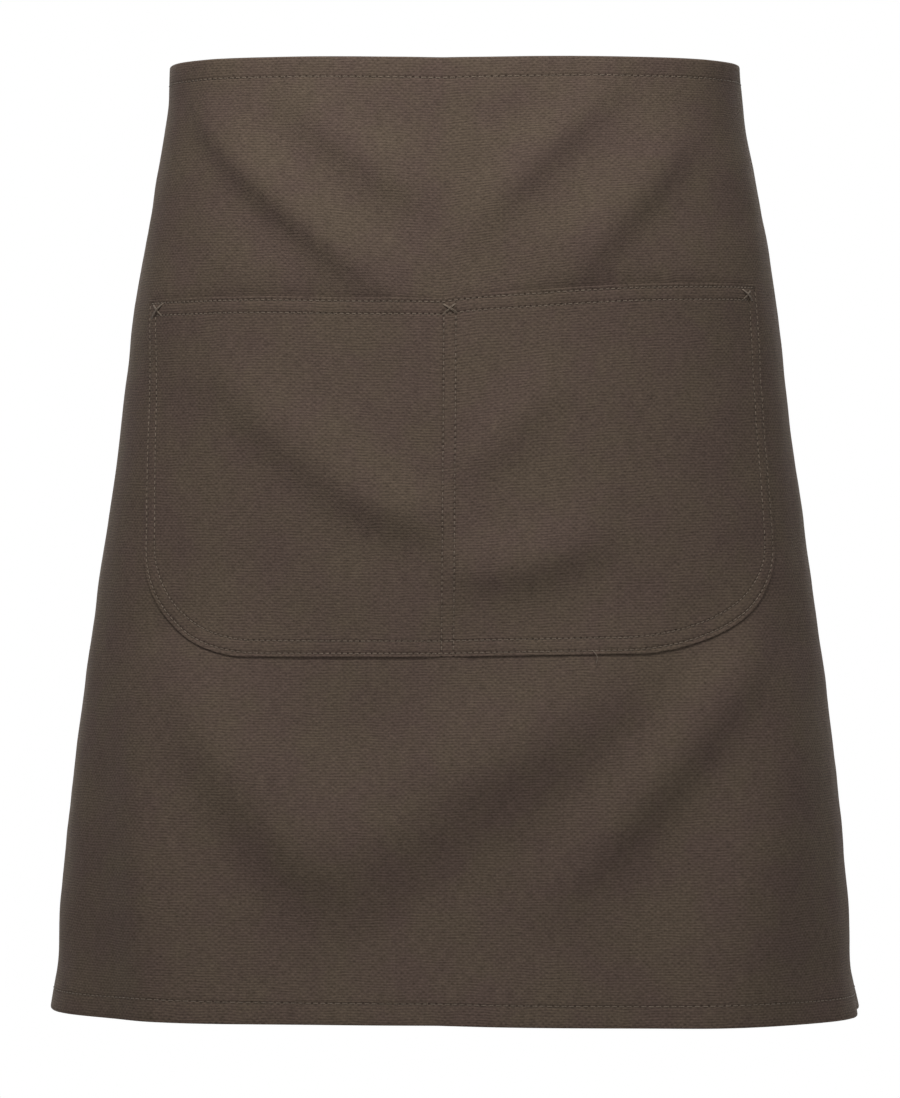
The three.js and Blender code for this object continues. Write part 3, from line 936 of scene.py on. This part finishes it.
def make_pocket():
    rim = 0.75
    fine, coarse = 0.95, 2.3
    band = pocket_rows[1] + 2.4
    centre_reach = centre_rows + 2.9
    sides = lines(
        (-pocket_half + rim, -pocket_half + band, fine),
        (-pocket_half + band, -centre_reach, coarse),
        (-centre_reach, centre_reach, 0.9),
        (centre_reach, pocket_half - band, coarse),
        (pocket_half - band, pocket_half - rim, fine),
    )
    arc = np.degrees(np.arcsin(np.arange(0, pocket_corner_height, 1.05) / pocket_corner_height))
    corner = corner_top + pocket_corner_height * np.sin(np.radians(np.append(arc, (82, 85.5, 88, 90))))
    corner = np.unique(np.minimum(corner, pocket_foot - rim))
    hem_span = (pocket_drop + rim, pocket_drop + band, fine)
    side_span = (pocket_drop + band, corner_top - 1.2, coarse)
    downs = np.concatenate([lines(hem_span, side_span), corner])
    share = (sides / (pocket_half - rim))[None, :]
    half = pocket_half_at(downs[:, None], np.sign(share)) - rim
    across = pocket_offset + share * half
    down = np.repeat(downs[:, None], len(sides), axis=1)
    inside = seam_places(across, down)[:, 1].reshape(across.shape)
    outer, inner = pocket_lifts(across, down, inside)
    points, faces, cut = shell(across, down, outer, inner, mouth_place)
    seam = seam_places(cut[:, 0], cut[:, 1])
    piece = make_piece("patch_pocket", points, faces, pocket_canvas, cut, seam)
    return dressed(piece, "canvas", "pocket", "pocket_hem")


def pocket_surface(across, down):
    shape = np.shape(across)
    inside = seam_places(across, down)[:, 1].reshape(shape)
    return pocket_lifts(across, down, inside)[0]


def pocket_row_holes(inside):
    """Needle holes of a row that follows the pocket's edge at a distance inside it."""
    holes = np.arange(math.ceil(inside / pocket_pitch), outline_length[-1] / pocket_pitch)
    holes = holes[holes * pocket_pitch < outline_length[-1] - inside] * pocket_pitch
    edge = np.stack([np.interp(holes, outline_length, outline_points[:, k]) for k in (0, 1)], axis=-1)
    away = np.stack([np.interp(holes, outline_length, outline_inwards[:, k]) for k in (0, 1)], axis=-1)
    return edge - away * -inside


def make_pocket_stitching():
    rows = [pocket_row_holes(inside) for inside in pocket_rows]
    for inside in pocket_rows:
        left, right = pocket_offset - pocket_half + inside, pocket_offset + pocket_half - inside
        down = pocket_drop + inside
        rows.append(straight_row((left, down), (right, down), pocket_pitch))
    for aside in (-centre_rows, centre_rows):
        at = pocket_offset + aside
        top, foot = pocket_drop + centre_start, pocket_foot - pocket_rows[0]
        rows.append(straight_row((at, top), (at, foot), pocket_pitch))
    parts = []
    for row in rows:
        parts += row_threads(row, pocket_surface, panel_inner, mouth_place)
    return make_threads("pocket_stitching", parts)


def make_bar_tacks():
    """A small cross of tripled thread at each end and the middle of the pocket's mouth."""
    strand_gap = 0.4
    top_rise, under_rise = 0.5, 0.1
    parts = []
    for tack in tacks:
        strands = [(tack["across"] + aside, tack_middle) for aside in (-strand_gap, 0, strand_gap)]
        for lean in (-1, 1):
            half = np.array([tack["reach"], lean * tack["depth"]])
            starts, ends = np.array(strands) - half, np.array(strands) + half
            raised = top_rise if lean == tack["top"] else under_rise
            threads = thread_mesh(starts, ends, pocket_surface, mouth_place, tack_radius, raised=raised)
            parts.append(threads)
    return make_threads("bar_tacks", parts)


def thread_along(path, radius, sides=6):
    """Closed round thread along a path of points in space."""
    run = unit(np.gradient(path, axis=0))
    sideways = unit(np.cross(run, np.array([0.1, 1.0, 0.2])))
    upright = np.cross(sideways, run)
    angles = np.arange(sides) * 2 * math.pi / sides
    ring = (
        np.cos(angles)[None, :, None] * sideways[:, None]
        + np.sin(angles)[None, :, None] * upright[:, None]
    )
    points = (path[:, None] + radius * ring).reshape(-1, 3)
    ids = np.arange(len(points)).reshape(len(path), sides)
    tube = np.stack([ids[:-1], np.roll(ids[:-1], -1, 1), np.roll(ids[1:], -1, 1), ids[1:]], axis=-1)
    faces = [tube.reshape(-1, 4), ids[:1, ::-1], ids[-1:]]
    return points, faces, np.repeat(path[:, [0, 2]], sides, axis=0)


def make_loose_end():
    """The end of thread left below the pocket's bottom edge, right of its middle."""
    fray_across, fray_inset, fray_length, fray_radius = 78, 2.6, 6.5, 0.2
    wander, curl, start_lift, lift_fall, arch = 1.6, 1.2, 1.9, 0.9, 1.2
    share = np.linspace(0, 1, 14)
    across = fray_across + wander * share + curl * np.sin(3 * share)
    down = pocket_foot - fray_inset + fray_length * share
    lift = canvas_wall + start_lift - lift_fall * share + arch * np.sin(math.pi * share)
    return make_threads("loose_thread_end", [thread_along(cloth_place(across, down, lift), fray_radius)])


# The ties and their bow: how long the hem at a tail's end is, what it adds to each face, and its row.
tail_hem, tail_hem_rise, tail_hem_row = 9, 0.5, 7


def band_shell(place, length, start=0.0, width=tie_width, step=1.3, thickness=tie_wall, hemmed=False):
    """Points and faces of a tie: a folded band with rounded edges and a groove under each row."""
    rim = thickness / 2
    half = width / 2
    row = half - tie_row
    asides = lines(
        (-half + rim, -row - 1, 0.8),
        (-row - 1, -row + 1, 0.5),
        (-row + 1, row - 1, 1.6),
        (row - 1, row + 1, 0.5),
        (row + 1, half - rim, 0.8),
    )
    alongs = lines((start + rim, start + length - rim, step))
    across, down = np.meshgrid(alongs, asides)
    depth = groove(np.abs(np.abs(down) - row), row_depth)
    hem_start = start + length - tail_hem
    end = tail_hem_rise * step_up(across, hem_start, hem_start + 1) if hemmed else 0
    outer = thickness / 2 - depth + end
    inner = -thickness / 2 + depth - end
    return shell(across, down, outer + 0 * across, inner + 0 * across, place)


def band_stitches(place, length, start=0.0, width=tie_width):
    row = width / 2 - tie_row
    half_wall = tie_wall / 2 - 0.2
    parts = []
    for aside in (-row, row):
        holes = straight_row((start + 1, aside), (start + length - 1, aside), tie_pitch)
        parts += row_threads(holes, flat_surface(half_wall), flat_surface(-half_wall), place)
    return parts


def path_place(path, widthways, width_share, pleat):
    """Place function of a band along a path: widthways points down the band's width."""
    run = unit(np.gradient(path, axis=0))
    length = np.concatenate([[0], np.cumsum(np.linalg.norm(np.diff(path, axis=0), axis=1))])
    across_width = unit(widthways - run * np.sum(widthways * run, axis=1, keepdims=True))
    outward = np.cross(across_width, run)

    def place(along_band, aside, lift):
        along_band, aside, lift = np.broadcast_arrays(along_band, aside, lift)

        def read(values):
            return np.stack([np.interp(along_band, length, values[:, k]) for k in range(3)], axis=-1)

        wide = np.interp(along_band, length, width_share)
        relief = pleat(along_band, aside, length[-1])
        off = read(across_width) * (aside * wide)[..., None]
        return read(path) + off + read(outward) * (lift + relief)[..., None]

    return place, length[-1]


tie_middle = tie_drop + tie_width / 2
tie_lift = canvas_wall + tie_gap + tie_wall / 2
knot_y = back_at(tie_middle / cut_length) + canvas_wall + tie_gap + knot_depth / 2 - knot_round
knot_place = np.array([0, knot_y, -tie_middle])


def make_waist_tie(name, side):
    """The tie from its lap on the panel's top corner to the knot, gathered as it goes in."""
    tie_end = half_girth - knot_width / 2 - layer_gap + side * cloth_turn * drape[0]["turn"]
    into_knot, gather_reach = 5, 42
    narrowing, pleat_height, pleat_closeness = 0.4, 0.9, 1.05
    reach = tie_end + into_knot
    start = half_cut - tie_lap

    def place(along_band, aside, lift):
        along_band, aside, lift = np.broadcast_arrays(along_band, aside, lift)
        near = step_up(along_band, reach - gather_reach, reach - 4)
        narrow = 1 - narrowing * near
        pleat = near * pleat_height * np.sin(aside * pleat_closeness + 0.6)
        pleat = pleat + 0.35 * np.sin(along_band / 9 + aside / 11) * near
        sag = 0.5 * np.sin((along_band - start) / 17) * step_up(along_band, half_cut, half_cut + 25)
        down = tie_middle + aside * narrow + sag
        return cloth_place(side * along_band, down, tie_lift + lift + pleat)

    points, faces, cut = band_shell(place, reach - start, start)
    if side < 0:
        faces = [face[:, ::-1] for face in faces]
    cloth = make_piece(f"waist_tie_cloth_{name}", points, faces, tie_canvas, cut)
    piece = dressed(cloth, "tie_cloth", f"waist_tie_{name}")
    stitches = band_stitches(place, reach - start, start)
    low, high = start + tie_row, start + tie_lap - 4
    row = tie_width / 2 - tie_row
    lap_box = [
        ((low, -row), (high, row)),
        ((low, row), (high, -row)),
        ((low, -row), (low, row)),
        ((high, -row), (high, row)),
    ]
    for a, b in lap_box:
        holes = np.linspace(a, b, round(math.dist(a, b) / tie_pitch) + 1)
        stitches.append(thread_mesh(holes[:-1], holes[1:], flat_surface(tie_wall / 2 - 0.02), place))
    thread = make_threads(f"tie_stitching_{name}", stitches)
    return piece


def from_end(along_band, whole):
    return np.minimum(along_band, whole - along_band)


def make_loop(name, side):
    """A loop of the bow: out from the knot, round and back, pleated where the knot holds it."""
    droop = math.radians(loop_droop)
    away = np.array([side * math.cos(droop), 0, -math.sin(droop)])
    sideways = np.array([side * math.sin(droop), 0, math.cos(droop)])
    clear = knot_width / 2 + layer_gap + (tie_width / 2) * math.sin(droop)
    root = knot_place + np.array([side * clear, tie_wall * 2, -loop_drop])
    turn = np.linspace(0, math.pi, 120)
    bulge = loop_opening * np.where(turn < math.pi / 2, 1, loop_inside) * np.sin(2 * turn)
    path = root + away * (loop_length * np.sin(turn))[:, None]
    path[:, 1] += bulge + tie_wall * np.cos(turn)
    reach = np.sin(turn)
    arch, sag = 2.2, 1.5
    path[:, 2] += arch * np.sin(math.pi * reach) - sag * reach**2
    inwards = 7.0
    first = path[0] - np.array([side * inwards, 1.5, 0])
    last = path[-1] - np.array([side * inwards, 0.5, 0])
    lead = np.linspace(0, 1, 6)[:-1, None]
    way_out = first + (path[0] - first) * lead
    way_back = (last + (path[-1] - last) * lead)[::-1]
    path = np.concatenate([way_out, path, way_back])
    count = len(path)
    narrowest, pleat_height, pleat_closeness, pleat_reach = 0.5, 1.15, 1.15, 19
    lean = 0.16 * np.sin(np.linspace(0, 2 * math.pi, count))
    widthways = -sideways * np.cos(lean)[:, None] + np.array([0, 1.0, 0]) * np.sin(lean)[:, None]
    length = np.concatenate([[0], np.cumsum(np.linalg.norm(np.diff(path, axis=0), axis=1))])
    width_share = narrowest + (1 - narrowest) * step_up(from_end(length, length[-1]), 2, 34)

    def pleat(along_band, aside, whole):
        near = np.exp(-((from_end(along_band, whole) / pleat_reach) ** 2))
        soft = 0.4 * np.sin(along_band / 13 + aside / 7) * step_up(from_end(along_band, whole), 0, 20)
        return pleat_height * near * np.cos(aside * pleat_closeness + 0.4 * side) + soft

    place, whole = path_place(path, widthways, width_share, pleat)
    points, faces, cut = band_shell(place, whole)
    if side > 0:
        faces = [face[:, ::-1] for face in faces]
    cloth = make_piece(f"loop_cloth_{name}", points, faces, tie_canvas, cut)
    piece = dressed(cloth, "tie_cloth", f"bow_loop_{name}")
    thread = make_threads(f"loop_stitching_{name}", band_stitches(place, whole))
    return piece


def make_tail(name, side):
    """A free end of the tie, hanging from the knot with a slight curl and twist."""
    spread = math.tan(math.radians(tail_spread)) * tail_length
    top = knot_place + np.array([0, side * tie_wall, -knot_height / 2 - layer_gap])
    sway, sway_bends, curl, curl_bends, tail_twist = 1.4, 5.2, 1.1, 7.5, 0.3
    share = np.linspace(0, 1, 90)
    path = np.stack(
        [
            top[0] + side * spread * share**tail_curve + share * sway * np.sin(sway_bends * share + side),
            top[1]
            + share * (tail_bow * np.sin(math.pi * share) + curl * np.sin(curl_bends * share + side)),
            top[2] - tail_length * share,
        ],
        axis=-1,
    )
    lead = np.linspace(6, 0, 5)[:-1]
    path = np.concatenate([path[0] + np.stack([0 * lead, 0 * lead, lead], axis=-1), path])
    run = unit(np.gradient(path, axis=0))
    count = len(path)
    narrowest, pleat_height, pleat_closeness, pleat_reach = 0.55, 0.9, 0.95, 24
    twist = side * tail_twist * np.linspace(0, 1, count) ** 1.5
    flat = np.stack([-run[:, 2], np.zeros(count), run[:, 0]], axis=-1)
    widthways = flat * np.cos(twist)[:, None] + np.array([0, 1.0, 0]) * np.sin(twist)[:, None]
    length = np.concatenate([[0], np.cumsum(np.linalg.norm(np.diff(path, axis=0), axis=1))])
    width_share = narrowest + (1 - narrowest) * step_up(length, 4, 40)

    def pleat(along_band, aside, whole):
        near = np.exp(-((along_band / pleat_reach) ** 2))
        soft = 0.25 * np.sin(along_band / 15 + aside / 8)
        return pleat_height * near * np.cos(aside * pleat_closeness + side) + soft

    place, whole = path_place(path, widthways, width_share, pleat)
    points, faces, cut = band_shell(place, whole, hemmed=True)
    cloth = make_piece(f"tail_cloth_{name}", points, faces, tie_canvas, cut)
    piece = dressed(cloth, "tie_cloth", f"tie_tail_{name}")
    stitches = band_stitches(place, whole)
    row = tie_width / 2 - tie_row
    at = whole - tail_hem_row
    holes = np.linspace((at, -row), (at, row), round(2 * row / tie_pitch) + 1)
    for face in (-1, 1):
        surface = flat_surface(face * (tie_wall / 2 + 0.45))
        stitches.append(thread_mesh(holes[:-1], holes[1:], surface, place, side=face))
    thread = make_threads(f"tail_stitching_{name}", stitches)
    return piece


def make_knot():
    """The tie wrapped round the bow's middle: a barrel with pleats round it, and hollows at its sides."""
    turns, slices = 96, 44
    half_x, half_y, half_z = knot_width / 2, knot_depth / 2 - 0.4, knot_height / 2 - 0.3
    squareness, end_fall, end_sharpness, end_roundness = 2.7, 0.52, 3.4, 0.9
    wrap_slant, side_hollow = 0.1, 0.07
    wide_pleat, wide_closeness, fine_pleat, fine_closeness = 0.55, 9.5, 0.3, 17
    flap_rise, flap_start, flap_end = 0.9, 0.18, 0.3
    inset, pleat_share, flap_share = 0.85, 0.6, 0.55
    wrap_radius, wrap_squeeze = 11, 0.8
    t = np.linspace(-1, 1, slices)
    swell = (1 - np.abs(t) ** end_sharpness * end_fall) ** end_roundness
    angle = np.arange(turns) * 2 * math.pi / turns
    power = 2 / squareness
    ring_y = np.sign(np.cos(angle)) * np.abs(np.cos(angle)) ** power
    ring_z = np.sign(np.sin(angle)) * np.abs(np.sin(angle)) ** power
    slant = t[:, None] + wrap_slant * np.sin(angle)[None, :]
    pleats = wide_pleat * np.sin(wide_closeness * slant + 0.6)
    pleats = pleats + fine_pleat * np.sin(fine_closeness * slant - 0.8 + 0.5 * np.cos(angle)[None, :])
    flap = flap_rise * step_up(slant, flap_start, flap_end)
    grown = swell[:, None] - (inset - pleats * pleat_share - flap * flap_share) / half_y
    x = t[:, None] * (half_x - 0.4) * (1 - side_hollow * np.cos(angle)[None, :] ** 2)
    rings = np.stack([x + 0 * angle, grown * ring_y * half_y, grown * ring_z * half_z], axis=-1)
    hollows = [(0.7, 0.4), (0.4, 1.6), (0.15, 2.0)]
    left = [rings[0] * np.array([1, share, share]) + np.array([deep, 0, 0]) for share, deep in hollows]
    right = [rings[-1] * np.array([1, share, share]) - np.array([deep, 0, 0]) for share, deep in hollows]
    stack = np.concatenate([np.stack(left[::-1]), rings, np.stack(right)])
    points = stack.reshape(-1, 3) + knot_place
    ids = np.arange(len(points)).reshape(len(stack), turns)
    near, far = ids[:-1], ids[1:]
    quads = np.stack([near, far, np.roll(far, -1, 1), np.roll(near, -1, 1)], axis=-1).reshape(-1, 4)
    faces = [quads, ids[:1], ids[-1:, ::-1]]
    girth = angle[None, :] * wrap_radius + 0 * stack[..., 0]
    cut = np.stack([girth.ravel(), (stack[..., 0] * wrap_squeeze).ravel()], axis=-1)
    return dressed(make_piece("knot_cloth", points, faces, tie_canvas, cut), "tie_cloth", "bow_knot")


panel = make_panel()
hem_stitching = make_panel_stitching()
pocket = make_pocket()
pocket_stitching = make_pocket_stitching()
bar_tacks = make_bar_tacks()
loose_end = make_loose_end()
make_knot()
for side_name, side_sign in (("left", -1), ("right", 1)):
    make_waist_tie(side_name, side_sign)
    make_loop(side_name, side_sign)
    make_tail(side_name, side_sign)


# Studio: pale floor well below the hanging hem, soft light from above, white surroundings
def make_floor():
    sides, reach, drop, edge = 96, 3400, -960, 40
    angle = np.arange(sides) * 2 * math.pi / sides
    radii = ((reach, drop), (reach, drop - edge))
    points = np.concatenate(
        [np.stack([r * np.cos(angle), r * np.sin(angle), np.full(sides, z)], axis=-1) for r, z in radii]
    )
    ids = np.arange(2 * sides).reshape(2, sides)
    around = np.stack([ids[0], ids[1], np.roll(ids[1], -1), np.roll(ids[0], -1)], axis=-1)
    floor = make_piece("studio_floor", points, [around, ids[:1], ids[1:, ::-1]], floor_finish())
    floor.data.polygons.foreach_set("use_smooth", np.zeros(len(floor.data.polygons), dtype=bool))


def aim(thing, target):
    away = target - np.array(thing.location)
    flat = math.hypot(away[0], away[1])
    thing.rotation_euler = (math.pi / 2 + math.atan2(away[2], flat), 0, math.atan2(-away[0], away[1]))


# Lamps: places and sizes in metres, energy in watts.
lamp_target = (0, -0.05, -0.25)
lamps = table(
    "name place size energy colour",
    ("key", (-0.1, -0.74, 0.86), (0.7, 0.4), 10.9, "#fffaf4"),
    ("back_fill", (0.3, 1.7, 0.9), (1.4, 1.0), 4.0, "#f7f9ff"),
)


def make_lamps():
    for lamp in lamps:
        data = bpy.data.lights.new(lamp["name"], "AREA")
        data.shape = "RECTANGLE"
        data.size, data.size_y = lamp["size"]
        data.energy = lamp["energy"]
        data.color = linear(lamp["colour"])[:3]
        made = bpy.data.objects.new(lamp["name"], data)
        made.location = lamp["place"]
        aim(made, np.array(lamp_target))
        bpy.context.scene.collection.objects.link(made)


# Light of the surroundings from above, below and behind, and where behind starts along +Y.
sky_above, sky_below, sky_behind = 0.36, 0.0, 2.6
behind_start = 0.6


def make_surroundings():
    """White behind the object. In front it is brighter from above than from below."""
    world = bpy.data.worlds.new("white_studio")
    bpy.context.scene.world = world
    world.use_nodes = True
    tree = world.node_tree
    tree.nodes.clear()
    heading = add_node(tree, "ShaderNodeTexCoord")
    split = add_node(tree, "ShaderNodeSeparateXYZ", None, {"Vector": heading.outputs["Generated"]})
    level = add_node(
        tree,
        "ShaderNodeMapRange",
        {"From Min": -1.0, "From Max": 1.0, "To Min": sky_below, "To Max": sky_above},
        {"Value": split.outputs["Z"]},
    )
    behind = add_node(
        tree,
        "ShaderNodeMapRange",
        {"interpolation_type": "SMOOTHSTEP", "From Min": behind_start, "From Max": 1.0},
        {"Value": split.outputs["Y"]},
    )
    around = add_node(
        tree, "ShaderNodeMix", {"data_type": "FLOAT", 3: sky_behind}, {0: behind, 2: level}
    )
    light = add_node(tree, "ShaderNodeBackground", {"Color": (1, 1, 1, 1)}, {"Strength": around})
    backdrop = add_node(tree, "ShaderNodeBackground", {"Color": (1, 1, 1, 1), "Strength": 1.0})
    path = add_node(tree, "ShaderNodeLightPath")
    mixed = add_node(
        tree, "ShaderNodeMixShader", None, {0: path.outputs["Is Camera Ray"], 1: light, 2: backdrop}
    )
    add_node(tree, "ShaderNodeOutputWorld", None, {"Surface": mixed})


# The camera stands level with the middle of the apron. The lens follows from the photograph: 6197 pixels
# of focal length over a frame 1098 pixels high.
focal_pixels, frame_pixels = 6197, 1098
camera_place = (-2.66, -3300, -254)


def make_camera():
    data = bpy.data.cameras.new("front_camera")
    data.sensor_fit = "VERTICAL"
    data.sensor_height = 36
    data.lens = data.sensor_height * focal_pixels / frame_pixels
    data.clip_start, data.clip_end = 0.05, 50
    camera = bpy.data.objects.new("front_camera", data)
    camera.location = [value * MM for value in camera_place]
    camera.rotation_euler = (math.pi / 2, 0, 0)
    bpy.context.scene.collection.objects.link(camera)
    bpy.context.scene.camera = camera


make_floor()
make_lamps()
make_surroundings()
make_camera()
bpy.context.scene.view_settings.view_transform = "Standard"
